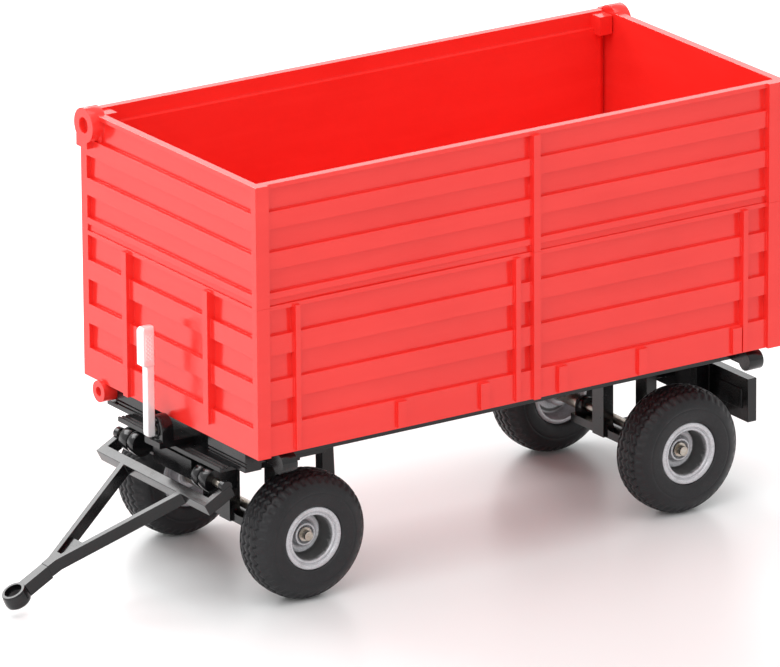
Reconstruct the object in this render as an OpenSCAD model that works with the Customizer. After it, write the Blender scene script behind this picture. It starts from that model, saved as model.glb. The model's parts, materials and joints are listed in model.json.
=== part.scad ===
// Side-tipping two-axle grain trailer, 1:32 scale model.
// Millimetres. +X runs forward along the drawbar, +Y to the trailer's left, +Z up.
// Ground is z = 0 and the origin is the middle of the overall length.

/* [View] */
// Sub-part to draw, or "all" for the whole trailer

/* [Body] */
// Overall width of the tipping body
body_width = 78; // [60:1:96]
// Length of the tipping body, front wall to rear wall
body_length = 153; // [120:1:190]
// Height of the body's underside above the ground
body_bottom = 41; // [40.8:0.1:46]
// Height of the rim above the ground
body_top = 108.3; // [92:0.1:125]
// Height of the seam where the grain sides sit on the lower body
seam_height = 78.2; // [70:0.1:84]
// Thickness of the walls
wall = 2.2; // [2:0.1:4]
// Thickness of the floor
floor_thick = 2.4; // [1.6:0.1:3]
// Depth of the pressed recesses in the walls
recess_depth = 1.1; // [0.6:0.1:1.3]
// How far ribs and posts stand out from the boards
rib_proud = 0.9; // [0.4:0.1:1]

/* [Gate] */
// Radius of the pegs the side gate hangs on
peg_r = 1.9; // [1.2:0.05:2.2]
// Outer radius of the eyes that carry the pegs
peg_eye_r = 4.3; // [3.4:0.1:5]
// Gap between the gate and the body around it
gate_gap = 0.4; // [0.35:0.05:0.8]

/* [Tipping hinge] */
// Distance of the tipping axis from the centreline
tip_y = 31; // [29:0.1:32]
// Height of the tipping axis
tip_z = 38.9; // [38.6:0.1:39]
// Radius of the steel tipping pins
tip_pin_r = 1.1; // [0.8:0.05:1.2]

/* [Chassis] */
// Outer faces of the two rails, from the centreline
rail_y = 28.4; // [26:0.1:29]
// Height of the top of the chassis
frame_top = 40.6; // [39:0.1:40.7]
// Height of the underside of the rails
rail_bottom = 36; // [35:0.1:37]

/* [Running gear] */
// Distance from the body's front face back to the front axle
front_axle_back = 19.4; // [17:0.1:24]
// Distance between the axles
wheelbase = 109.1; // [90:0.1:120]
// Outside radius of the tyres, also the axle height
tyre_r = 15.9; // [14.5:0.1:15.9]
// Width of the tyres
tyre_width = 12; // [11:0.1:14]
// Radius of the rims
rim_r = 7.9; // [6.8:0.1:9]
// Wheel centre planes, from the centreline
track_half = 27.5; // [26.5:0.1:29]
// Radius of the steel axles
axle_r = 1.15; // [0.9:0.05:1.3]

/* [Drawbar] */
// Downward slope of the drawbar at rest, in degrees
drawbar_slope = 28.1; // [22:0.1:28.5]
// Hinge axis to the centre of the towing eye
drawbar_reach = 51.05; // [44:0.05:56]
// Half width of the drawbar yoke
yoke_half = 24.5; // [23:0.1:26]
// Radius of the hole in the towing eye
eye_hole_r = 2.25; // [1.4:0.05:2.3]
// Outer radius of the towing eye
eye_r = 3.3; // [3.2:0.1:4.4]

/* [Lever] */
// Height of the top of the hand lever
lever_top = 65; // [54:0.5:74]
// Width of the lever's rod
lever_w = 2.3; // [1.8:0.1:3]

/* [Hidden] */
$fn = 48;
// fits: running clearance on a radius, and the gap kept between separate moving bodies
fit = 0.07;
gap = 0.4;
e = 0.01;
// body
hw = body_width / 2;
board_y = hw - rib_proud;
inner_y = board_y - wall;
end_proud = 1;
floor_top = body_bottom + floor_thick;
post_front = 3.7;
post_rear = 5.5;
front_r_margin = 2.7;
front_l_margin = 1.5;
mid_x = -body_length / 2;
// left wall: middle post, short ribs and stake pockets, by their rear edges
mid_post = mid_x - 4.15;
mid_post_w = 2;
rib_xs = [-12.3, mid_x + 1.6, -body_length + 11.5];
rib_w = 1.4;
pocket_xs = [-42.2, mid_x + 10.6, mid_x - 12, mid_x - 35.4, -body_length + 13.3];
pocket_w = 2.6;
// end walls: the ribs' right edges, widths and starts above the underside
end_ribs = [[-19.6, 2.1, 0.1], [16.5, 2.2, 3.5]];
// pressed pattern: ledge heights and pitches measured down from the rim and from the seam
up_first = body_top - 6.8;
up_pitch = (body_top - seam_height) / 3.01;
up_open = 5.7;
low_first = seam_height - 7.4;
low_pitch = (seam_height - body_bottom) / 3.32;
low_open = 6.3;
recess_lean = 0.18;
// shallow strip above the seam
strip_depth = 0.5;
strip_open = 1.7;
// gate
peg_y = hw - 4.7;
peg_z = body_top - 2.8;
eye_proud = 2;
pin_sunk = 1.5;
gate_thick = 3;
gate_inner = 1.2;
ledge_z = body_top - 3.9;
gate_end = wall + gate_gap;
gate_block = 3.6;
lining_end = 1.5;
gate_rib_xs = [-gate_end - 4, mid_x - 3.1, -body_length + gate_end + 1.6];
gate_rib_w = 2.4;
sill_drop = 0.5;
gate_low = floor_top - sill_drop + gate_gap;
sill_y = -hw + gate_thick + gate_inner + gate_gap;
// tipping hinge
tube_r = tip_pin_r + 1.6;
tube_front = 1;
tube_back = 4.6;
lug_r = tip_pin_r + 0.7;
lug_len = 4;
// chassis
rail_w = 3;
beam_face = 2.4;
beam_back = 7;
beam_low = 34.7;
beam_end = tip_y - tube_r - 0.5;
member_xs = [-43.5, -80, -104];
member_w = 5;
flange_top = tip_z - tube_r - gap;
member_z = 39;
plate_low = 33.5;
plate_half = 23;
rest_r = 2.4;
rest_y = hw - 2.7;
rest_z = 38;
rest_len = 4.2;
rest_xs = [-11.3, -body_length + 6.5];
// running gear
ax_f = -front_axle_back;
ax_r = -front_axle_back - wheelbase;
leg_front = 4.4;
leg_d = 3;
leg_back = 11.6;
leg_w = 4.8;
shoe_low = 12.2;
shoe_top = 14.3;
shoe_half = 12.8;
rim_half = 5.25;
hub_face = 1.7;
dish = 0.25;
hub_floor = 0.9;
hub_r = axle_r + 2.05;
shoulder_r = axle_r + 0.6;
axle_end = 3.2;
lug_half = axle_r + 1.25;
// turntable
king_r = 2;
disc_r = 14.5;
disc_low = 31.1;
disc_top = 33.1;
// drawbar
hinge_x = -0.4;
hinge_z = 30.1;
barrel_r = 3;
arm_w = 2.3;
barrel_out = yoke_half - arm_w - 2.8;
barrel_in = barrel_out - 6.3;
boss_half = barrel_in - 4.6;
pin_r = 1;
bar_in = 4.1;
bar_out = 7.2;
bar_deep = 2.9;
arm_root = 13.7;
arm_thick = 3.1;
web_from = 30.5;
web_to = drawbar_reach - 12.35;
shank_w = 2.9;
arm_deep = 3.7;
eye_deep = 3.8;
// lever
lever_x = 4.8;
lever_d = 2.5;
lever_z = 38.8;
lever_foot = 1.6;
lever_pin_r = 0.8;
grip_len = 9.8;
// light bar
light_front = body_length - 2.8;
light_t = 2.6;
light_low = 18;
light_top = 29.2;
light_half = 27;
// overall extent along X, used only to centre the origin
nose_x = hinge_x + (drawbar_reach + eye_r) * cos(drawbar_slope);
tail_x = -body_length - eye_proud;
shift_x = -(nose_x + tail_x) / 2;

red = [0.86, 0.11, 0.08];
dark = [0.06, 0.06, 0.07];
steel = [0.72, 0.72, 0.74];
silver = [0.66, 0.67, 0.69];
chrome = [0.86, 0.87, 0.89];
tyre_grey = [0.13, 0.13, 0.14];

// ---------- helpers ----------
// box from two corners
module block(a, b) {
    translate([min(a[0], b[0]), min(a[1], b[1]), min(a[2], b[2])])
        cube([abs(a[0] - b[0]), abs(a[1] - b[1]), abs(a[2] - b[2])]);
}

// round bar along X, from x0 to x1
module bar_x(r, x0, x1, y, z) {
    translate([min(x0, x1), y, z]) rotate([0, 90, 0]) cylinder(r = r, h = abs(x1 - x0));
}

// round bar along Y, from y0 to y1
module bar_y(r, y0, y1, x, z) {
    translate([x, max(y0, y1), z]) rotate([90, 0, 0]) cylinder(r = r, h = abs(y1 - y0));
}

// mirror image at the other end of the body
module at_rear() {
    translate([-body_length, 0, 0]) mirror([1, 0, 0]) children();
}

// one pressed recess, running along +X, cut into a wall whose outer face is y = 0
module recess(length, z0, z1, depth = recess_depth) {
    rotate([90, 0, 90]) linear_extrude(height = length)
        polygon([[2, z0], [-depth, z0], [-depth - recess_lean, z1], [2, z1]]);
}

module upper_recesses(length) {
    for (i = [0:2]) recess(length, up_first - i * up_pitch, up_first - i * up_pitch + up_open);
    recess(length, seam_height, seam_height + strip_open, strip_depth);
}

module lower_recesses(length) {
    for (i = [0:2]) recess(length, low_first - i * low_pitch, low_first - i * low_pitch + low_open);
}

// the recesses on the left, front and rear walls of one storey of the body
module storey_recesses(upper) {
    side = body_length - post_front - post_rear;
    across = body_width - front_l_margin - front_r_margin;
    translate([-body_length + post_rear, board_y, 0])
        if (upper) upper_recesses(side); else lower_recesses(side);
    translate([0, hw - front_l_margin, 0]) rotate([0, 0, -90])
        if (upper) upper_recesses(across); else lower_recesses(across);
    translate([-body_length, -hw + front_r_margin, 0]) rotate([0, 0, 90])
        if (upper) upper_recesses(across); else lower_recesses(across);
}

// posts that stand the full height of the left wall, one storey at a time
module left_posts(z0, z1) {
    block([0, inner_y + 1, z0], [-post_front, hw, z1]);
    block([-body_length, inner_y + 1, z0], [-body_length + post_rear, hw, z1]);
    block([mid_post, inner_y + 1, z0], [mid_post + mid_post_w, hw, min(z1, body_top - 0.9)]);
}

// walls of one storey between two heights, open towards the gate
module storey(z0, z1) {
    difference() {
        block([-body_length, -hw, z0], [0, board_y, z1]);
        block([-body_length + wall, -hw - 5, z0 - 5], [-wall, inner_y, z1 + 5]);
    }
}

// ---------- tipping body ----------
module tub_lower() {
    color(red) difference() {
        union() {
            difference() {
                storey(body_bottom, seam_height);
                storey_recesses(false);
            }
            // floor, and the lower sill under the gate
            block([-body_length + e, sill_y, body_bottom], [-e, inner_y + 1, floor_top]);
            block([-body_length + e, -hw, body_bottom], [-e, sill_y + 1, floor_top - sill_drop]);
            left_posts(body_bottom, seam_height);
            // short ribs on the left wall
            for (x = rib_xs)
                block([x, board_y - 2, body_bottom + 0.5], [x + rib_w, hw, seam_height - 0.6]);
            // stake pockets on the bottom board
            for (x = pocket_xs)
                block([x, board_y - 1, body_bottom + 0.4],
                    [x + pocket_w, hw, low_first - 2 * low_pitch - 0.4]);
            // ribs on the front and rear walls
            for (rear = [0, 1]) for (rib = end_ribs)
                translate([rear * -body_length, 0, 0]) mirror([rear, 0, 0])
                    block([-2, rib[0], body_bottom + rib[2]],
                        [end_proud, rib[0] + rib[1], seam_height - 0.6]);
            // hinge tubes
            bar_x(tube_r, -tube_back, tube_front, -tip_y, tip_z);
            at_rear() bar_x(tube_r, -tube_back, tube_front, -tip_y, tip_z);
        }
        bar_x(tip_pin_r + fit, -tube_back - 1, tube_front + 1, -tip_y, tip_z);
        at_rear() bar_x(tip_pin_r + fit, -tube_back - 1, tube_front + 1, -tip_y, tip_z);
    }
}

// eye and lug for one gate peg, at the front
module peg_eye() {
    bar_x(peg_eye_r, -wall, eye_proud, -peg_y, peg_z);
    block([-1, -peg_y - peg_eye_r + 0.4, peg_z - peg_eye_r - 1.6], [eye_proud - 0.3, -peg_y + 1, peg_z - 3]);
    block([-wall, -hw, peg_z - 8], [-0.5, -peg_y + 4, peg_z]);
}

module tub_upper() {
    color(red) difference() {
        union() {
            difference() {
                storey(seam_height, body_top);
                storey_recesses(true);
            }
            left_posts(seam_height, body_top);
            peg_eye();
            at_rear() peg_eye();
        }
        bar_x(peg_r + fit, -wall - 1, eye_proud + 1, -peg_y, peg_z);
        at_rear() bar_x(peg_r + fit, -wall - 1, eye_proud + 1, -peg_y, peg_z);
    }
}

// ---------- side gate ----------
module gate_panel() {
    long = body_length - 2 * gate_end;
    color(red) difference() {
        union() {
            difference() {
                union() {
                    block([-body_length + gate_end, -board_y, gate_low],
                        [-gate_end, -hw + gate_thick, body_top]);
                    block([-body_length + gate_end + lining_end, -hw + gate_thick - 1, gate_low],
                        [-gate_end - lining_end, -hw + gate_thick + gate_inner, ledge_z]);
                }
                translate([-gate_end - 4, -board_y, 0]) rotate([0, 0, 180]) {
                    upper_recesses(long - 8);
                    lower_recesses(long - 8);
                }
            }
            for (x = gate_rib_xs)
                block([x, -board_y + 2, gate_low], [x + gate_rib_w, -hw, body_top - 0.9]);
            // end blocks that hold the pegs
            for (rear = [0, 1]) translate([rear * -body_length, 0, 0]) mirror([rear, 0, 0])
                block([-gate_end, -hw + gate_thick - 1, peg_z - peg_r - 0.5],
                    [-gate_end - gate_block, -peg_y + peg_r + 0.4, peg_z + peg_r + 0.5]);
        }
        for (rear = [0, 1]) translate([rear * -body_length, 0, 0]) mirror([rear, 0, 0])
            bar_x(peg_r, -gate_end - gate_block + 0.8, 0, -peg_y, peg_z);
    }
}

module gate_pegs() {
    color(red) for (rear = [0, 1]) translate([rear * -body_length, 0, 0]) mirror([rear, 0, 0])
        bar_x(peg_r, -gate_end - gate_block + 0.8, eye_proud - pin_sunk, -peg_y, peg_z);
}

// ---------- chassis ----------
module chassis_frame() {
    color(dark) difference() {
        union() {
            for (s = [-1, 1])
                block([-body_length + beam_back, s * rail_y, rail_bottom],
                    [-beam_back, s * (rail_y - rail_w), frame_top]);
            for (x = member_xs)
                block([x - member_w / 2, -rail_y + 1, rail_bottom], [x + member_w / 2, rail_y - 1, member_z]);
            // wide members over the two axles
            block([ax_f - 7, -rail_y + 1, beam_low], [ax_f + 7, rail_y - 1, member_z]);
            block([ax_r - 14.6, -rail_y + 1, rail_bottom], [ax_r + 7.4, rail_y - 1, member_z]);
        }
        translate([ax_f, 0, 0]) cylinder(r = king_r, h = 60);
    }
}

// cross beam with the tipping lug; drawn at the front
module crossbeam(recess_half) {
    difference() {
        union() {
            block([-beam_back, -beam_end, beam_low], [-beam_face, rail_y + 1.1, frame_top]);
            block([-beam_back, -tip_y - 1.6, beam_low], [-beam_face, rail_y + 1.1, flange_top]);
            block([-tube_back - gap - lug_len, -tip_y - 1.6, beam_low],
                [-tube_back - gap, -rail_y, flange_top]);
            block([-tube_back - gap - lug_len, -tip_y - lug_r, beam_low],
                [-tube_back - gap, -rail_y, tip_z]);
            bar_x(lug_r, -tube_back - gap - lug_len, -tube_back - gap, -tip_y, tip_z);
        }
        bar_x(tip_pin_r, -20, 5, -tip_y, tip_z);
        // two fine grooves along the face
        for (z = [flange_top + 0.2, flange_top + 1.1])
            block([-beam_face + 1, -rail_y - 5, z], [-beam_face - 0.4, rail_y + 5, z + 0.4]);
        if (recess_half > 0)
            block([-beam_face + 1, -recess_half, flange_top - 2],
                [-beam_face - 2, recess_half, frame_top + 1]);
    }
}

module front_crossbeam() {
    color(dark) crossbeam(13);
}

module rear_crossbeam() {
    color(dark) at_rear() crossbeam(0);
}

module tip_pins() {
    color(steel) for (rear = [0, 1]) translate([rear * -body_length, 0, 0]) mirror([rear, 0, 0])
        bar_x(tip_pin_r, -tube_back - gap - lug_len, tube_front - pin_sunk, -tip_y, tip_z);
}

module rest_blocks() {
    color(dark) for (x = rest_xs) {
        bar_x(rest_r, x, x + rest_len, rest_y, rest_z);
        block([x + 0.8, rail_y, rest_z - 1.3], [x + rest_len - 0.8, rest_y, rest_z + 1.3]);
    }
}

module turntable_plate() {
    color(dark) difference() {
        translate([0, 0, plate_low]) linear_extrude(height = beam_low - plate_low)
            polygon([[0.6, -plate_half], [0.6, plate_half], [-6, plate_half],
                [-36, 14], [-36, -14], [-6, -plate_half]]);
        for (x = [-1.6, -0.5])
            block([x, -plate_half - 1, beam_low - 0.3], [x + 0.4, -5, beam_low + 1]);
        for (x = [-1.6, -0.5])
            block([x, 5, beam_low - 0.3], [x + 0.4, plate_half + 1, beam_low + 1]);
        translate([ax_f, 0, 0]) cylinder(r = king_r, h = 60);
    }
}

module king_pin() {
    color(steel) translate([ax_f, 0, 0]) {
        translate([0, 0, disc_low - 0.5]) cylinder(r = king_r, h = member_z - disc_low + 0.5);
        translate([0, 0, disc_low - 1.2]) cylinder(r = 3.6, h = 0.7);
        translate([0, 0, member_z]) cylinder(r = 3.2, h = 0.8);
    }
}

module centre_post() {
    color(dark) rotate([90, 0, 0]) translate([0, 0, -1.5]) linear_extrude(height = 3)
        translate([member_xs[0], 0]) polygon([[1.5, rail_bottom], [-1.5, rail_bottom], [-2.3, 17],
            [-1.3, 15], [0.5, 15], [1.3, 17]]);
}

module light_bar() {
    color(dark) {
        block([-light_front, -light_half, light_low],
            [-light_front - light_t, light_half, light_top]);
        for (s = [-1, 1]) {
            block([-light_front + 3.2, s * 8, light_top - 9], [-light_front, s * 10.5, light_top]);
            block([-light_front + 3.9, s * 8, light_top - 6],
                [-light_front, s * 10.5, beam_low]);
            // raised panels on the forward face
            block([-light_front + 0.4, s * 15.5, light_low + 3],
                [-light_front, s * 24.5, light_top - 3]);
        }
    }
}

module lamp_blocks() {
    color(dark) for (s = [-1, 1]) difference() {
        block([-light_front - light_t - 0.7, s * 14.5, light_low + 2.4],
            [-light_front - light_t, s * 25, light_top - 2.4]);
        for (y = [18, 21.5])
            block([-light_front - light_t - 1, s * y, light_low],
                [-light_front - light_t - 0.4, s * (y + 0.4), light_top]);
    }
}

// ---------- axles and their carriers ----------
// legs before and behind the axle, joined by a shoe that carries the axle lugs
module carrier(xa, top) {
    w = leg_w / 2;
    difference() {
        union() {
            block([xa + leg_front, -w, shoe_low], [xa + leg_front - leg_d, w, top]);
            block([xa - leg_back, -w, shoe_low], [xa - leg_back + leg_d, w, top]);
            block([xa + leg_front, -w, shoe_low], [xa - leg_back, w, shoe_top]);
            block([xa - leg_back, -9, top], [xa + leg_front, 9, top + 2]);
            block([xa - 2.4, -shoe_half, shoe_low], [xa + leg_front - 0.7, shoe_half, shoe_top]);
            for (s = [-1, 1]) {
                block([xa - lug_half, s * (shoe_half - 2.6), shoe_low],
                    [xa + lug_half, s * shoe_half, tyre_r]);
                bar_y(lug_half, s * (shoe_half - 2.6), s * shoe_half, xa, tyre_r);
                // rounded corners between the front leg and the shoe
                difference() {
                    block([xa + 1.6, s * (w - e), shoe_top - e],
                        [xa + leg_front - 0.7, s * (w + 2), shoe_top + 2]);
                    translate([xa - 3, s * (w + 2), shoe_top + 2]) rotate([0, 90, 0])
                        cylinder(r = 2, h = 12);
                }
            }
        }
        bar_y(axle_r, -40, 40, xa, tyre_r);
    }
}

module rear_carrier() {
    color(dark) carrier(ax_r, rail_bottom - 2);
}

module front_carrier() {
    color(dark) {
        carrier(ax_f, 26.6);
        for (s = [-1, 1])
            block([ax_f - 8, s * 6.4, 28.5], [ax_f + leg_front, s * 9, disc_low]);
    }
}

// steel rod with shoulders inboard of the wheels and lock washers in their hubs
module axle(xa) {
    hub_in = track_half - rim_half + 0.25;
    washer = track_half + hub_floor + gap;
    end = track_half + axle_end;
    bar_y(axle_r, -end, end, xa, tyre_r);
    for (s = [-1, 1]) {
        bar_y(shoulder_r, s * shoe_half, s * (hub_in - gap), xa, tyre_r);
        bar_y(shoulder_r, s * washer, s * (washer + 0.3), xa, tyre_r);
    }
}

module rear_axle() {
    color(steel) axle(ax_r);
}

module front_axle() {
    color(steel) axle(ax_f);
}

// ---------- turntable ----------
module turntable() {
    color(dark) difference() {
        union() {
            translate([ax_f, 0, disc_low]) cylinder(r = disc_r, h = disc_top - disc_low);
            block([ax_f, -12, disc_low], [hinge_x - 2.2, 12, disc_top]);
            block([hinge_x - 6.1, -barrel_out, 27.4], [hinge_x - 2.2, barrel_out, disc_top]);
            block([hinge_x - 3, -boss_half, 27.4], [hinge_x, boss_half, disc_top - 0.8]);
        }
        for (s = [-1, 1])
            bar_y(barrel_r, s * barrel_in, s * (barrel_out + 1), hinge_x, hinge_z);
        translate([ax_f, 0, 0]) cylinder(r = king_r + fit, h = 60);
    }
}

module drawbar_barrels() {
    color(dark) for (s = [-1, 1]) difference() {
        bar_y(barrel_r, s * barrel_in, s * barrel_out, hinge_x, hinge_z);
        bar_y(pin_r, s * (barrel_in + 1.5), s * (barrel_out + 1), hinge_x, hinge_z);
        // waist around the middle of the barrel
        difference() {
            bar_y(barrel_r + 1, s * (barrel_in + 2.6), s * (barrel_in + 3.1), hinge_x, hinge_z);
            bar_y(barrel_r - 0.25, s * (barrel_in + 2), s * (barrel_in + 4), hinge_x, hinge_z);
            block([hinge_x - 10, s * barrel_in, 20], [hinge_x - 1.6, s * barrel_out, 40]);
        }
    }
}

module drawbar_pins() {
    color(steel) for (s = [-1, 1])
        bar_y(pin_r, s * (barrel_in + 1.5), s * (yoke_half - 0.2), hinge_x, hinge_z);
}

// ---------- drawbar ----------
// local frame on the hinge axis: x along the drawbar, z square to it
module on_drawbar() {
    translate([hinge_x, 0, hinge_z]) rotate([0, drawbar_slope, 0]) children();
}

module drawbar_frame() {
    inner = arm_root - arm_thick;
    color(dark) on_drawbar() difference() {
        union() {
            block([bar_in, -yoke_half, -bar_deep], [bar_out, yoke_half, 0]);
            for (s = [-1, 1]) {
                block([0, s * yoke_half, -bar_deep + 0.8], [bar_in + 1, s * (yoke_half - arm_w), 0]);
                bar_y(2.2, s * yoke_half, s * (yoke_half - arm_w), 0, 0);
            }
            translate([0, 0, -arm_deep]) linear_extrude(height = arm_deep) difference() {
                polygon([[bar_out - 1, -arm_root], [web_to, -1.7], [web_to, 1.7],
                    [bar_out - 1, arm_root]]);
                polygon([[bar_out, -inner], [web_from, -0.9], [web_from, 0.9], [bar_out, inner]]);
            }
            block([web_to - 1, -shank_w / 2, -arm_deep], [web_to + 2.4, shank_w / 2, 0]);
        }
        for (s = [-1, 1])
            bar_y(pin_r + fit, s * (yoke_half + 1), s * (yoke_half - arm_w - 1), 0, 0);
        // the web between the arms lies below their top faces
        translate([0, 0, -0.7]) linear_extrude(height = 2)
            polygon([[web_from - 1, -1], [web_to - 2.4, -0.7], [web_to - 2.4, 0.7], [web_from - 1, 1]]);
    }
}

module towing_eye() {
    color(dark) on_drawbar() difference() {
        union() {
            // ring with a waisted top edge
            translate([drawbar_reach, 0, -eye_deep]) rotate_extrude()
                polygon([[0, 0], [eye_r - 0.6, 0], [eye_r - 0.15, 0.4], [eye_r, 1.1],
                    [eye_r - 0.05, 2.3], [eye_hole_r + 0.8, eye_deep - 0.2],
                    [eye_hole_r + 0.65, eye_deep], [0, eye_deep]]);
            block([web_to + 2.4, -shank_w / 2 + 0.1, -arm_deep + 0.1],
                [drawbar_reach - eye_r + 0.7, shank_w / 2 - 0.1, -0.1]);
        }
        translate([drawbar_reach, 0, -eye_deep - 1]) cylinder(r = eye_hole_r, h = eye_deep + 2);
    }
}

// ---------- hand lever ----------
module lever_bracket() {
    color(dark) difference() {
        union() {
            block([-beam_face - 2, -3.4, beam_low], [lever_x + 0.4, 3.4, beam_low + 1.6]);
            block([lever_x - gap - 3.2, -3.4, beam_low], [lever_x - gap, 3.4, lever_z]);
            bar_x(3.4, lever_x - gap - 3.2, lever_x - gap, 0, lever_z);
        }
        bar_x(lever_pin_r, lever_x - 8, lever_x + 2, 0, lever_z);
        difference() {
            bar_x(2.7, lever_x - gap - 0.5, lever_x + 2, 0, lever_z);
            bar_x(1.9, lever_x - gap - 2, lever_x + 3, 0, lever_z);
        }
    }
}

module lever_pin() {
    color(steel) bar_x(lever_pin_r, lever_x - gap - 3.2, lever_x + 1.5, 0, lever_z);
}

module lever_rod() {
    w = lever_w / 2;
    d = lever_d;
    color(chrome) difference() {
        union() {
            // tapered foot, straight rod and deeper head in one outline
            translate([0, w, 0]) rotate([90, 0, 0]) linear_extrude(height = lever_w)
                polygon([[lever_x, lever_z - lever_foot], [lever_x + d - 0.6, lever_z - lever_foot],
                    [lever_x + d, lever_z - lever_foot + 0.8], [lever_x + d, lever_top - grip_len - 0.8],
                    [lever_x + d + 1.1, lever_top - grip_len + 0.4], [lever_x + d + 1.1, lever_top - 0.8],
                    [lever_x + d + 0.4, lever_top], [lever_x, lever_top]]);
            block([lever_x, -w - 0.4, lever_top - grip_len], [lever_x + d + 1.1, w + 0.4, lever_top - 0.5]);
        }
        bar_x(lever_pin_r + fit, lever_x - 1, lever_x + 1.6, 0, lever_z);
    }
}

module lever_grips() {
    w = lever_w / 2 + 0.4;
    color(chrome) for (s = [-1, 1]) for (i = [0:6])
        block([lever_x + 0.6, s * w, lever_top - grip_len + 1.1 + i * 1.1],
            [lever_x + lever_d + 0.5, s * (w + 0.2), lever_top - grip_len + 1.7 + i * 1.1]);
}

// ---------- wheels ----------
module wheel_at(xa, s) {
    translate([xa, s * track_half, tyre_r]) rotate([-90 * s, 0, 0]) children();
}

module tyre_shape() {
    w = tyre_width / 2;
    r = tyre_r;
    color(tyre_grey) rotate_extrude($fn = 96) difference() {
        polygon([[rim_r, -w + 0.9], [rim_r + 0.5, -w + 0.4], [rim_r + 2, -w], [r - 4.2, -w],
            [r - 3, -w + 0.3], [r - 2, -w + 1], [r - 1.1, -w + 2], [r - 0.5, -w + 3],
            [r - 0.15, -w + 4.1], [r, -0.9], [r, 0.9], [r - 0.15, w - 4.1], [r - 0.5, w - 3],
            [r - 1.1, w - 2], [r - 2, w - 1], [r - 3, w - 0.3], [r - 4.2, w],
            [rim_r + 2, w], [rim_r + 0.5, w - 0.4], [rim_r, w - 0.9]]);
        for (g = [-2.1, 0, 2.1]) translate([r - 1.1, g - 0.2]) square([2, 0.4]);
    }
}

module rim_shape() {
    color(silver) rotate_extrude($fn = 72)
        polygon([[axle_r + fit, -rim_half + 0.25], [hub_r, -rim_half + 0.25], [hub_r, -1.3],
            [rim_r - 1.9, -1.3], [rim_r - 1.3, -rim_half], [rim_r, -rim_half], [rim_r, rim_half],
            [rim_r - 1.2, rim_half], [rim_r - 1.3, rim_half - 0.25], [rim_r - 1.4, rim_half - 0.9],
            [rim_r - 1.7, rim_half - 1], [rim_r - 2.5, 0.4], [rim_r - 3, -dish], [hub_r, -dish],
            [hub_r - 0.2, hub_face], [hub_r - 0.9, hub_face], [hub_r - 1.05, hub_floor],
            [axle_r + fit, hub_floor]]);
}

module tyre_front_left() { wheel_at(ax_f, 1) tyre_shape(); }
module rim_front_left() { wheel_at(ax_f, 1) rim_shape(); }
module tyre_front_right() { wheel_at(ax_f, -1) tyre_shape(); }
module rim_front_right() { wheel_at(ax_f, -1) rim_shape(); }
module tyre_rear_left() { wheel_at(ax_r, 1) tyre_shape(); }
module rim_rear_left() { wheel_at(ax_r, 1) rim_shape(); }
module tyre_rear_right() { wheel_at(ax_r, -1) tyre_shape(); }
module rim_rear_right() { wheel_at(ax_r, -1) rim_shape(); }

// ---------- assembly ----------
module placed() {
    translate([shift_x, 0, 0]) children();
}

placed() tub_lower();
placed() tub_upper();
placed() gate_panel();
placed() gate_pegs();
placed() chassis_frame();
placed() front_crossbeam();
placed() rear_crossbeam();
placed() tip_pins();
placed() rest_blocks();
placed() turntable_plate();
placed() king_pin();
placed() centre_post();
placed() light_bar();
placed() lamp_blocks();
placed() rear_carrier();
placed() rear_axle();
placed() turntable();
placed() front_carrier();
placed() front_axle();
placed() drawbar_barrels();
placed() drawbar_pins();
placed() drawbar_frame();
placed() towing_eye();
placed() lever_bracket();
placed() lever_pin();
placed() lever_rod();
placed() lever_grips();
placed() tyre_front_left();
placed() rim_front_left();
placed() tyre_front_right();
placed() rim_front_right();
placed() tyre_rear_left();
placed() rim_rear_left();
placed() tyre_rear_right();
placed() rim_rear_right();
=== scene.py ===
"""Looks for the side-tipping grain trailer: finishes, rounded edges and the mesh-coded pieces.

The mesh-coded pieces are the tyres, the rims, the hand lever and the drawbar.

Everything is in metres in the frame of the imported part: +X forward along the drawbar,
+Y to the trailer's left, +Z up, ground at z = 0.
"""
import json
import math

import bmesh
import bpy
from mathutils import Matrix, Vector, geometry


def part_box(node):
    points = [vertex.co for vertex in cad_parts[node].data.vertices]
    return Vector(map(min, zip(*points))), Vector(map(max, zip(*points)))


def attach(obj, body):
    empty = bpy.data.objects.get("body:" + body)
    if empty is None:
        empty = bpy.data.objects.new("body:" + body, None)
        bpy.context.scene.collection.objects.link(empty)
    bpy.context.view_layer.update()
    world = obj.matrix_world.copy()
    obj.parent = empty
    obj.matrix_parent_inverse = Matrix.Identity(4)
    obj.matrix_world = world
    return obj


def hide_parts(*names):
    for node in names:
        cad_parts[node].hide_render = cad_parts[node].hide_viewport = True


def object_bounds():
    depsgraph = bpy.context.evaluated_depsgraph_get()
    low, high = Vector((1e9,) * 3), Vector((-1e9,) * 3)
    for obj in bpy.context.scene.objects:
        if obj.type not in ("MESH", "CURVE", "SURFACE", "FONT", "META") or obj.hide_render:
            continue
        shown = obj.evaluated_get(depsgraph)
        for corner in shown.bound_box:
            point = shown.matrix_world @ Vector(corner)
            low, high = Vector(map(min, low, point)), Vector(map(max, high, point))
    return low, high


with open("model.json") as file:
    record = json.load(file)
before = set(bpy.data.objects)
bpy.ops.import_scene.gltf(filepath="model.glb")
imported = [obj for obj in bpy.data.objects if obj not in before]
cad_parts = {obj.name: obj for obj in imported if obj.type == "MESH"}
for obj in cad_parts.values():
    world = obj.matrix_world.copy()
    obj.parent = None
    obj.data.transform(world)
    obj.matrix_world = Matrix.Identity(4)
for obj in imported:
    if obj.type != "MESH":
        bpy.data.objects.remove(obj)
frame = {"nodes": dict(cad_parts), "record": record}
CAD_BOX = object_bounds()
MM = 0.001


# ---------- camera ----------
CAM_AZ, CAM_EL, CAM_ROLL = 0.9895, math.radians(18.41), math.radians(-0.359)
CAM_PLACE = (1.18733, 1.8206, 0.7758)
CAM_LENS, CAM_SENSOR = 438, 36
CAM_SHIFT = (0.0018, -0.0026)


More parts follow.
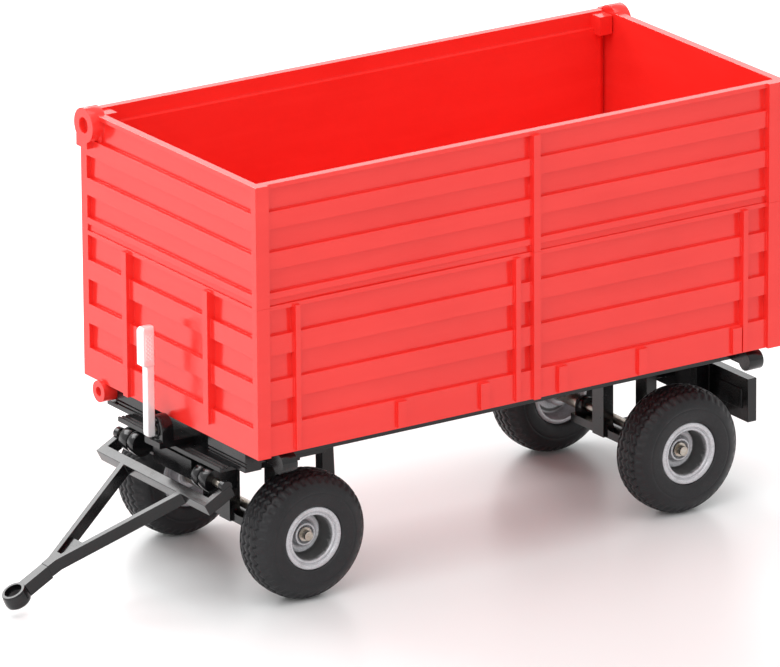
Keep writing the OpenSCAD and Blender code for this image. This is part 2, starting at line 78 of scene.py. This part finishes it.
def into_scene(ob):
    bpy.context.scene.collection.objects.link(ob)


def make_camera():
    level = math.cos(CAM_EL)
    back = Vector((math.cos(CAM_AZ) * level, math.sin(CAM_AZ) * level, math.sin(CAM_EL)))
    right = Vector((0, 0, 1)).cross(back).normalized()
    up = back.cross(right)
    c, s = math.cos(CAM_ROLL), math.sin(CAM_ROLL)
    right, up = c * right + s * up, -s * right + c * up
    cam = bpy.data.cameras.new("view")
    cam.lens, cam.sensor_width = CAM_LENS, CAM_SENSOR
    cam.shift_x, cam.shift_y = CAM_SHIFT
    cam.clip_start, cam.clip_end = 0.05, 50
    ob = bpy.data.objects.new("view", cam)
    m = Matrix((right, up, back)).transposed().to_4x4()
    m.translation = Vector(CAM_PLACE)
    ob.matrix_world = m
    into_scene(ob)
    bpy.context.scene.camera = ob


make_camera()


# the painted shade on the wall of the wheel rims' dish lies between these radii and fades
# over FADE, all in millimetres
DISH_R, FLANGE_R, FADE = 5.0, 5.5, 0.25


# ---------- material helpers ----------
class Finish:
    """A node material: a Principled shader with object-space noise to drive its detail."""

    def __init__(self, name):
        self.mat = bpy.data.materials.new(name)
        self.mat.use_nodes = True
        self.nt = self.mat.node_tree
        self.nt.nodes.clear()
        out = self.add("ShaderNodeOutputMaterial")
        self.bsdf = self.add("ShaderNodeBsdfPrincipled")
        self.link(self.bsdf.outputs[0], out.inputs["Surface"])
        self.coord = self.add("ShaderNodeTexCoord").outputs["Object"]
        self.normal = None

    def add(self, kind, **props):
        node = self.nt.nodes.new(kind)
        for key, value in props.items():
            setattr(node, key, value)
        return node

    def link(self, a, b):
        self.nt.links.new(a, b)

    def set(self, **values):
        for key, value in values.items():
            self.bsdf.inputs[key.replace("_", " ")].default_value = value

    def stretched(self, scale):
        node = self.add("ShaderNodeMapping")
        node.inputs["Scale"].default_value = scale
        self.link(self.coord, node.inputs["Vector"])
        return node.outputs[0]

    def noise(self, scale, detail=2.0, rough=0.5, coord=None):
        node = self.add("ShaderNodeTexNoise")
        node.inputs["Scale"].default_value = scale
        node.inputs["Detail"].default_value = detail
        node.inputs["Roughness"].default_value = rough
        self.link(coord or self.coord, node.inputs["Vector"])
        return node.outputs["Fac"]

    def flakes(self, scale):
        """A random grey for each small cell."""
        node = self.add("ShaderNodeTexVoronoi")
        node.inputs["Scale"].default_value = scale
        self.link(self.coord, node.inputs["Vector"])
        split = self.add("ShaderNodeSeparateColor")
        self.link(node.outputs["Color"], split.inputs[0])
        return split.outputs[0]

    def remap(self, value, low, high, to_low=0.0, to_high=1.0):
        node = self.add("ShaderNodeMapRange")
        node.inputs["From Min"].default_value = low
        node.inputs["From Max"].default_value = high
        node.inputs["To Min"].default_value = to_low
        node.inputs["To Max"].default_value = to_high
        self.link(value, node.inputs["Value"])
        return node.outputs[0]

    def math(self, op, a, b):
        node = self.add("ShaderNodeMath", operation=op)
        for socket, value in zip(node.inputs, (a, b)):
            if isinstance(value, (int, float)):
                socket.default_value = value
            else:
                self.link(value, socket)
        return node.outputs[0]

    def blend(self, fac, a, b):
        """Colour a to colour b by fac; either may be a colour or a socket."""
        node = self.add("ShaderNodeMix", data_type="RGBA")
        self.link(fac, node.inputs["Factor"])
        for socket, value in ((node.inputs[6], a), (node.inputs[7], b)):
            if isinstance(value, tuple):
                socket.default_value = (*value, 1)
            else:
                self.link(value, socket)
        return node.outputs[2]

    def colour(self, socket):
        self.link(socket, self.bsdf.inputs["Base Color"])

    def roughness(self, socket):
        self.link(socket, self.bsdf.inputs["Roughness"])

    def bump(self, height, strength, distance):
        node = self.add("ShaderNodeBump")
        node.inputs["Strength"].default_value = strength
        node.inputs["Distance"].default_value = distance
        self.link(height, node.inputs["Height"])
        if self.normal is not None:
            self.link(self.normal, node.inputs["Normal"])
        self.normal = node.outputs[0]
        self.link(self.normal, self.bsdf.inputs["Normal"])

    def distance_from_axis(self):
        """Distance from the wheel's own axis, for pieces whose origin is the wheel centre."""
        sep = self.add("ShaderNodeSeparateXYZ")
        self.link(self.coord, sep.inputs[0])
        squares = [self.math("MULTIPLY", sep.outputs[i], sep.outputs[i]) for i in ("X", "Z")]
        return self.math("SQRT", self.math("ADD", *squares), 0)

    def upward(self):
        """1 on faces that look straight up, falling to 0 on walls and undersides."""
        geo = self.add("ShaderNodeNewGeometry")
        sep = self.add("ShaderNodeSeparateXYZ")
        self.link(geo.outputs["Normal"], sep.inputs[0])
        return self.remap(sep.outputs["Z"], 0.3, 1.0)


def red_plastic():
    f = Finish("red_plastic")
    f.set(IOR=1.5, Specular_IOR_Level=0.5)
    # slow colour drift of the moulding, with faint flow lines
    drift = f.remap(f.noise(28, 3, 0.55), 0.3, 0.7)
    flow = f.remap(f.noise(1, 3, 0.6, coord=f.stretched((30, 30, 240))), 0.45, 0.75)
    base = f.blend(drift, (0.84, 0.026, 0.020), (0.90, 0.032, 0.025))
    f.colour(f.blend(f.math("MULTIPLY", flow, 0.35), base, (0.93, 0.042, 0.033)))
    f.roughness(f.remap(f.noise(140, 3, 0.55), 0.3, 0.7, 0.15, 0.22))
    f.bump(f.noise(130, 2, 0.5), 0.10, 0.00008)
    return f.mat


def black_enamel():
    f = Finish("black_enamel")
    f.set(IOR=1.5, Specular_IOR_Level=0.40, Coat_Weight=0.10, Coat_Roughness=0.10)
    thin = f.remap(f.noise(70, 4, 0.65), 0.45, 0.75)
    dust = f.math("MULTIPLY", f.upward(), f.remap(f.noise(420, 5, 0.7), 0.46, 0.74))
    base = f.blend(thin, (0.0050, 0.0050, 0.0056), (0.0095, 0.0095, 0.0100))
    f.colour(f.blend(f.math("MULTIPLY", dust, 0.16), base, (0.09, 0.09, 0.09)))
    f.roughness(f.remap(f.noise(260, 4, 0.6), 0.3, 0.7, 0.16, 0.28))
    f.bump(f.noise(900, 3, 0.6), 0.10, 0.00005)
    return f.mat


def steel():
    f = Finish("steel")
    f.set(Metallic=1.0)
    drawn = f.noise(1, 4, 0.7, coord=f.stretched((3500, 260, 3500)))
    stain = f.remap(f.noise(520, 4, 0.7), 0.42, 0.66)
    base = f.blend(f.remap(drawn, 0.3, 0.7), (0.40, 0.37, 0.33), (0.64, 0.60, 0.54))
    f.colour(f.blend(f.math("MULTIPLY", stain, 0.6), base, (0.24, 0.18, 0.11)))
    f.roughness(f.remap(drawn, 0.3, 0.7, 0.24, 0.42))
    f.bump(drawn, 0.22, 0.00004)
    return f.mat


def chrome():
    f = Finish("chrome")
    f.set(Metallic=0.35, IOR=1.6)
    smear = f.remap(f.noise(190, 4, 0.65), 0.35, 0.75)
    f.colour(f.blend(smear, (0.97, 0.97, 0.97), (0.90, 0.90, 0.91)))
    f.roughness(f.remap(f.noise(700, 3, 0.6), 0.3, 0.75, 0.12, 0.24))
    f.bump(f.noise(420, 2, 0.5), 0.10, 0.00006)
    return f.mat


def rim_silver():
    f = Finish("rim_silver")
    f.set(Metallic=0.5, IOR=1.5)
    lacquer = f.blend(f.flakes(5200), (0.50, 0.50, 0.52), (0.64, 0.64, 0.67))
    # painted shade: the steep wall of the dish, between the disc and the flange, is
    # coloured dark grey for the shade that falls in it
    away = f.distance_from_axis()
    shade_edge_radius = f.math("ADD", away, f.remap(f.noise(900, 3, 0.6), 0.3, 0.7, -0.00008, 0.00008))
    inside = f.remap(shade_edge_radius, DISH_R * MM, (DISH_R - FADE) * MM)
    outside = f.remap(shade_edge_radius, FLANGE_R * MM, (FLANGE_R + FADE) * MM)
    unshaded = f.math("ADD", inside, outside)
    # dark grey painted shade on the dish wall, the lacquer everywhere else
    base = f.blend(unshaded, (0.10, 0.10, 0.10), lacquer)
    grime = f.remap(f.noise(240, 5, 0.7), 0.5, 0.78)
    f.colour(f.blend(f.math("MULTIPLY", grime, 0.35), base, (0.16, 0.155, 0.15)))
    f.roughness(f.remap(f.noise(600, 4, 0.6), 0.3, 0.7, 0.30, 0.44))
    f.bump(f.noise(1500, 3, 0.6), 0.15, 0.00004)
    return f.mat


def rubber():
    f = Finish("tyre")
    f.set(IOR=1.48, Specular_IOR_Level=0.42)
    bloom = f.remap(f.noise(85, 4, 0.6), 0.35, 0.72)
    speck = f.remap(f.noise(2300, 3, 0.6), 0.5, 0.75)
    base = f.blend(bloom, (0.0085, 0.0083, 0.0098), (0.0150, 0.0147, 0.0168))
    f.colour(f.blend(f.math("MULTIPLY", speck, 0.35), base, (0.032, 0.032, 0.034)))
    f.roughness(f.remap(f.noise(500, 4, 0.6), 0.3, 0.7, 0.38, 0.55))
    f.bump(f.noise(2100, 3, 0.6), 0.25, 0.00005)
    return f.mat


MATERIALS = {"red_plastic": red_plastic(), "black_enamel": black_enamel(), "steel": steel(),
             "chrome": chrome(), "rim_silver": rim_silver(), "tyre": rubber()}


# ---------- CAD nodes: finishes and moulded edges ----------
# edge widths in millimetres, and the smallest angle between faces that is rounded
EDGE = {"red_plastic": 0.24, "black_enamel": 0.16, "steel": 0.12, "chrome": 0.12,
        "rim_silver": 0.1, "tyre": 0.1}
EDGE_ANGLE = math.radians(32)
WELD = 2e-6


def soften(ob, slot):
    """Rounded edges, with the face shading kept flat."""
    weld = ob.modifiers.new("weld", "WELD")
    weld.merge_threshold = WELD
    edge = ob.modifiers.new("edge", "BEVEL")
    edge.width = EDGE[slot] * MM
    edge.segments = 2
    edge.limit_method = "ANGLE"
    edge.angle_limit = EDGE_ANGLE
    edge.harden_normals = True


for part in frame["record"]["subparts"]:
    slot = part["material_slot"]
    ob = frame["nodes"][part["node"]]
    for held in ob.material_slots:
        held.material = MATERIALS[slot]
    soften(ob, slot)


# ---------- mesh helpers ----------
def add_piece(name, me, slot, body, smooth=True):
    ob = bpy.data.objects.new(name, me)
    into_scene(ob)
    me.materials.clear()
    me.materials.append(MATERIALS[slot])
    if smooth:
        me.shade_smooth()
    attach(ob, body)
    return ob


def outward(me, bm):
    """Writes bm to the mesh, with its faces turned outwards, and frees it."""
    bmesh.ops.recalc_face_normals(bm, faces=bm.faces)
    bm.to_mesh(me)
    bm.free()


def lathe(name, profile, steps, shape):
    """Closed ring swept round the Y axis from (radius, along) pairs in millimetres.

    shape(angle, radius, along) returns the (radius, along) to use in their place.
    """
    verts, faces = [], []
    n = len(profile)
    for j in range(steps):
        a = 2 * math.pi * j / steps
        for at in profile:
            r, w = shape(a, *at)
            verts.append((r * math.cos(a) * MM, w * MM, r * math.sin(a) * MM))
    for j in range(steps):
        k = (j + 1) % steps
        for i in range(n):
            m = (i + 1) % n
            faces.append((j * n + i, j * n + m, k * n + m, k * n + i))
    me = bpy.data.meshes.new(name)
    me.from_pydata(verts, [], faces)
    bm = bmesh.new()
    bm.from_mesh(me)
    outward(me, bm)
    return me


def middle(node):
    lo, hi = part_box(node)
    return (lo + hi) / 2


# ---------- wheels ----------
def smoothstep(a, b, x):
    t = min(1, max(0, (x - a) / (b - a)))
    return t * t * (3 - 2 * t)


def radius_and_half_width(lo, hi):
    """Radius and half width of a round piece from the corners of its box, in millimetres."""
    return (hi.z - lo.z) / 2 / MM, (hi.y - lo.y) / 2 / MM


TYRE_R, TYRE_HALF = radius_and_half_width(*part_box("tyre_front_left"))
RIM_R, RIM_HALF = radius_and_half_width(*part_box("rim_front_left"))
# the tread repeats LUGS times round the tyre, and GROOVES are the grooves' places across it
LUGS, STEPS_PER_LUG = 42, 10
GROOVES = (-2.85, -0.95, 0.95, 2.85)
GROOVE_DEPTH, SIPE_DEPTH, NOTCH_DEPTH = 0.62, 0.12, 0.30
# how far the tread and the crown's outline reach below the full radius
TREAD_BAND, CROWN_BAND = 2.6, 2.9
CROWN_STEP = 0.2
RIM_STEPS, BORE_R = 144, 1.22


def crown_drop(aw):
    """How far the round crown lies below the tyre's full radius, at aw from its middle plane."""
    return 0.055 * max(0, aw - 0.6) ** 2 + 0.006 * max(0, aw - 1.5) ** 4


def tread(a, r, w):
    """Cuts wavy grooves, short sipes and shoulder notches into the plain tyre outline."""
    aw = abs(w)
    if r < TYRE_R - TREAD_BAND:
        return r, w
    phase = a * LUGS
    crown = 1 - smoothstep(3.7, 4.2, aw)
    wave = 0.40 * math.sin(phase) + 0.08 * math.sin(2 * phase)
    cut = 0
    for i, g in enumerate(GROOVES):
        d = abs(w - g - wave * (1 if i % 2 else 0.9))
        cut = max(cut, 1 - smoothstep(0.15, 0.40, d))
    # short cross sipes on the ribs between the grooves
    sipe = max(0, math.cos(phase + 1.3 * w)) ** 8 * (0.5 - 0.5 * math.cos(w * math.pi / 0.95))
    r -= crown * (GROOVE_DEPTH * cut + SIPE_DEPTH * sipe)
    # shoulder notches, fading out before the side wall
    edge = smoothstep(3.8, 4.2, aw) * (1 - smoothstep(4.7, 5.2, aw))
    notch = smoothstep(-0.35, 0.45, math.cos(phase + 0.5))
    r -= edge * NOTCH_DEPTH * (1 - notch)
    return r, w


def tyre_mesh():
    R, H, B = TYRE_R, TYRE_HALF, RIM_R
    # one side from the bead outwards to the middle of the crown; then its mirror image
    side = [(B, H - 0.9), (B + 0.12, H - 0.62), (B + 0.45, H - 0.4), (B + 0.9, H - 0.26),
            (B + 1.4, H - 0.16), (B + 2.0, H - 0.08), (B + 2.8, H - 0.03), (B + 3.3, H - 0.02),
            (B + 3.4, H - 0.06), (B + 3.55, H - 0.14), (B + 3.7, H - 0.06), (B + 3.85, H - 0.04),
            (R - 3.6, H - 0.16), (R - 3.0, H - 0.4)]
    count = round((H - 0.4) / CROWN_STEP)
    crown = [H - 0.4 - CROWN_STEP * i for i in range(1, count + 1)]
    side += [(R - crown_drop(w), w) for w in crown if crown_drop(w) < CROWN_BAND]
    profile = side + [(R, 0)] + [(r, -w) for r, w in reversed(side)]
    return lathe("tyre", profile, LUGS * STEPS_PER_LUG, tread)


def rim_mesh(outboard):
    """Rim for the side of the trailer that outboard (1 or -1) points to along Y."""
    R, H = RIM_R, RIM_HALF
    flange = [(R - 0.04, H - 0.3), (R - 0.1, H - 0.1), (R - 0.26, H), (R - 1.08, H),
              (R - 1.2, H - 0.07), (R - 1.25, H - 0.45), (R - 1.34, H - 0.52),
              (R - 1.48, H - 0.5), (R - 1.6, H - 0.38), (R - 1.8, H - 0.32),
              (R - 2.02, H - 0.4), (R - 2.2, H - 0.62), (R - 2.3, H - 1.0)]
    dish = [(R - 2.38, H - 1.6), (R - 2.62, 1.0), (R - 2.75, 0.1), (R - 2.85, -0.12),
            (R - 3.0, -0.2), (R - 3.05, -0.05), (R - 3.25, -0.05), (R - 3.32, -0.2),
            (3.35, -0.26), (3.12, -0.14)]
    hub = [(3.0, 0.2), (2.95, 1.45), (2.86, 1.66), (2.66, 1.76), (2.42, 1.74), (2.26, 1.6),
           (2.18, 1.3), (2.14, 0.92), (BORE_R + 0.1, 0.9), (BORE_R, 0.8), (BORE_R, -H + 0.3)]
    back = [(3.0, -H + 0.25), (3.2, -H + 0.45), (3.2, -1.3), (3.4, -1.25), (6.0, -1.2),
            (6.2, -1.4), (6.7, -H + 0.1), (6.9, -H), (R - 0.2, -H), (R - 0.04, -H + 0.2)]
    profile = [(r, w * outboard) for r, w in flange + dish + hub + back]

    def split_lines(a, r, w):
        """Two mould split lines, at these angles across the flange."""
        on_flange = w * outboard > H - 0.2 and R - 1.1 < r < R - 0.2
        if on_flange and any(abs(a - at) < 0.02 for at in (0.6, 3.6)):
            w -= 0.06 * outboard
        return r, w

    return lathe("rim", profile, RIM_STEPS, split_lines)


tyre = tyre_mesh()
rims = {1: rim_mesh(1), -1: rim_mesh(-1)}
for end in ("front", "rear"):
    for side, sign in (("left", 1), ("right", -1)):
        wheel = f"{end}_{side}"
        for kind, me, slot in (("tyre", tyre, "tyre"), ("rim", rims[sign], "rim_silver")):
            ob = add_piece(f"{kind}_{wheel}_piece", me, slot, f"wheel_{wheel}")
            ob.matrix_world = Matrix.Translation(middle(f"{kind}_{wheel}"))
            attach(ob, f"wheel_{wheel}")
            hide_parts(f"{kind}_{wheel}")


# ---------- hand lever ----------
def rounded(cx, half_x, half_y, radius, z):
    """One level outline of the lever: a rectangle with rounded corners, at height z."""
    out, corner = [], 6
    for sx, sy, start in ((1, 1, 0), (-1, 1, 90), (-1, -1, 180), (1, -1, 270)):
        for i in range(corner + 1):
            a = math.radians(start + 90 * i / corner)
            out.append((cx + sx * (half_x - radius) + radius * math.cos(a),
                        sy * (half_y - radius) + radius * math.sin(a), z))
    return out


def lever_mesh():
    """Stem and thicker head lofted along Z, with a cross-hatched pad on each side of the head."""
    lo, hi = (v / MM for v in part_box("lever_rod"))
    back, front, half = lo.x, hi.x, (hi.y - lo.y) / 2
    stem_x, stem_half, head_low = 2.25, 1.05, hi.z - 9.6
    head_half, hatch_pitch = half - 0.1, 3.1
    levels = []

    def level(z, depth, half_width, radius):
        levels.append(rounded(back + depth / 2, depth / 2, half_width, radius, z))

    level(lo.z, stem_x - 0.9, stem_half - 0.4, 0.3)
    level(lo.z + 0.15, stem_x - 0.5, stem_half - 0.15, 0.35)
    level(lo.z + 0.5, stem_x - 0.1, stem_half, 0.35)
    level(lo.z + 1.2, stem_x, stem_half, 0.3)
    for i in range(9):
        level(lo.z + 2 + (head_low - 0.7 - lo.z - 2) * i / 8, stem_x, stem_half, 0.3)
    depth = front - back
    for i in range(7):
        t = smoothstep(0, 1, i / 6)
        level(head_low - 0.6 + i * 0.15, stem_x + (depth - stem_x) * t,
              stem_half + (head_half - stem_half) * t, 0.3 + 0.25 * t)
    level(hi.z - 2, depth, head_half, 0.55)
    for i in range(9):
        a = math.radians(90 * i / 8)
        inset = 1.1 * (1 - math.cos(a))
        level(hi.z - 1.1 + 1.1 * math.sin(a), depth - 0.9 * inset, head_half - 0.55 * inset,
              0.55 - 0.2 * inset)
    verts = [v for ring in levels for v in ring]
    n = len(levels[0])
    faces = [(j * n + i, j * n + (i + 1) % n, (j + 1) * n + (i + 1) % n, (j + 1) * n + i)
             for j in range(len(levels) - 1) for i in range(n)]
    faces += [tuple(reversed(range(n))), tuple(range((len(levels) - 1) * n, len(levels) * n))]
    # pads: a grid of small pyramids standing on the head's two sides
    pad_x, pad_z = (back + 0.55, front - 0.75), (head_low + 1.1, hi.z - 1.5)
    nx, nz = 30, 96
    for s in (-1, 1):
        first = len(verts)
        for k in range(nz + 1):
            for i in range(nx + 1):
                u, w = i / nx, k / nz
                x = pad_x[0] + (pad_x[1] - pad_x[0]) * u
                z = pad_z[0] + (pad_z[1] - pad_z[0]) * w
                rim = smoothstep(0, 0.09, min(u, 1 - u)) * smoothstep(0, 0.03, min(w, 1 - w))
                hatch = abs(math.sin(hatch_pitch * (x + z)))
                hatch *= abs(math.sin(hatch_pitch * (x - z)))
                verts.append((x, s * (half - 0.16 + rim * (0.07 + 0.09 * hatch)), z))
        for k in range(nz):
            for i in range(nx):
                # the faces of both pads look away from the head
                p = first + k * (nx + 1) + i
                quad = (p, p + 1, p + nx + 2, p + nx + 1)
                faces.append(quad if s < 0 else tuple(reversed(quad)))
    me = bpy.data.meshes.new("lever")
    me.from_pydata([(x * MM, y * MM, z * MM) for x, y, z in verts], [], faces)
    return me


lever = add_piece("lever_piece", lever_mesh(), "chrome", "lever")
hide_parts("lever_rod")
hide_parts("lever_grips")


# ---------- drawbar ----------
def slab(loops, top, bottom):
    """Vertices and faces of a flat plate from an outline and its holes, both given in plan."""
    plan = [p for loop in loops for p in loop]
    n = len(plan)
    verts = [(x, y, top) for x, y in plan] + [(x, y, bottom) for x, y in plan]
    flat = [[Vector((x, y, 0)) for x, y in loop] for loop in loops]
    triangles = geometry.tessellate_polygon(flat)
    faces = [tuple(t) for t in triangles]
    faces += [tuple(i + n for i in reversed(t)) for t in triangles]
    first = 0
    for loop in loops:
        for i in range(len(loop)):
            a, b = first + i, first + (i + 1) % len(loop)
            faces.append((a, b, b + n, a + n))
        first += len(loop)
    return verts, faces


def boss(radius, y0, y1):
    """Vertices and faces of a round boss on the hinge axis."""
    steps = 40
    turn = [2 * math.pi * i / steps for i in range(steps)]
    verts = [(radius * math.cos(a), y, radius * math.sin(a)) for y in (y0, y1) for a in turn]
    faces = [(i, (i + 1) % steps, steps + (i + 1) % steps, steps + i) for i in range(steps)]
    return verts, faces + [tuple(range(steps)), tuple(range(steps, 2 * steps))]


def drawbar_mesh():
    """Yoke, two arms and web in the drawbar's own frame: x along it, z square to it."""
    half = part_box("drawbar_frame")[1].y / MM
    arm, bar_in, bar_out, deep = 1.9, 4.6, 7.2, 3.2
    root, root_in, tip, tip_half, end = 13.7, 11.8, 38.7, 1.6, 41.1
    fork, web_x, web_half, web_top, boss_r, overlap = tip - 2.4, 30.5, 3, -0.9, 1.55, 0.05
    side = [(-1, half - arm), (-1, half), (bar_out, half), (bar_out, root), (tip, tip_half),
            (end, tip_half - 0.15)]
    outline = [(bar_in, half - arm)] + side
    outline += [(x, -y) for x, y in reversed(outline)]
    hole = [(bar_out, root_in), (fork, 0.8)]
    hole += [(x, -y) for x, y in reversed(hole)]
    web = [(web_x, web_half), (fork, 0.9), (fork, -0.9), (web_x, -web_half)]
    me = bpy.data.meshes.new("drawbar")
    bm = bmesh.new()
    shells = [slab([outline, hole], 0, -deep), slab([web], web_top, -deep + 0.4)]
    shells += [boss(boss_r, s * (half - overlap), s * (half - arm + overlap)) for s in (-1, 1)]
    for verts, faces in shells:
        made = [bm.verts.new([c * MM for c in v]) for v in verts]
        for f in faces:
            bm.faces.new([made[i] for i in f])
    outward(me, bm)
    return me


record = frame["record"]
lift = next(j for j in record["behaviour"]["joints"] if j["name"] == "drawbar_lift")
eye = next(m for m in record["mounts"] if m["name"] == "towing_eye")
slope = math.asin(eye["axis"][0])
drawbar = add_piece("drawbar_piece", drawbar_mesh(), "black_enamel", "drawbar", smooth=False)
drawbar.matrix_world = Matrix.Translation(Vector(lift["pos_m"])) @ Matrix.Rotation(slope, 4, "Y")
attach(drawbar, "drawbar")
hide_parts("drawbar_frame")
soften(drawbar, "black_enamel")


# ---------- floor and light ----------
FLOOR_HALF = 6
WORLD_STRENGTH = 0.80


def floor():
    me = bpy.data.meshes.new("floor")
    bm = bmesh.new()
    bmesh.ops.create_grid(bm, x_segments=1, y_segments=1, size=FLOOR_HALF)
    bm.to_mesh(me)
    bm.free()
    f = Finish("floor")
    f.set(IOR=1.45)
    f.colour(f.blend(f.noise(3, 2), (0.86, 0.86, 0.86), (0.88, 0.88, 0.88)))
    f.roughness(f.remap(f.noise(8, 2), 0.3, 0.7, 0.30, 0.34))
    me.materials.append(f.mat)
    ob = bpy.data.objects.new("floor", me)
    into_scene(ob)


floor()

world = bpy.data.worlds.new("studio")
bpy.context.scene.world = world
world.use_nodes = True
sky = world.node_tree.nodes["Background"]
sky.inputs[0].default_value = (1, 1, 1, 1)
sky.inputs[1].default_value = WORLD_STRENGTH


def softbox(name, place, target, size, power):
    """Rectangular light at place, turned to face target; power in watts."""
    light = bpy.data.lights.new(name, "AREA")
    light.shape = "RECTANGLE"
    light.size, light.size_y = size
    light.energy = power
    ob = bpy.data.objects.new(name, light)
    ob.location = place
    ob.rotation_euler = (Vector(target) - Vector(place)).to_track_quat("-Z", "Y").to_euler()
    into_scene(ob)


centre = (CAD_BOX[0] + CAD_BOX[1]) / 2
# high on the trailer's right, the far side from the camera
softbox("key", (0.05, -1.05, 0.85), centre, (1.3, 0.6), 13)
# lower and to the rear on the same side: mirrored by the level black tops
softbox("strip", (-0.70, -1.06, 0.46), centre, (1.5, 0.5), 2.2)
# overhead, and a large fill from the front left
softbox("top", (0.1, 0.1, 1.4), centre, (1.2, 1.2), 8)
softbox("fill", (1.3, 0.7, 1.2), centre, (1.2, 1.2), 9)

view = bpy.context.scene.view_settings
view.view_transform = "Standard"
view.look = "None"
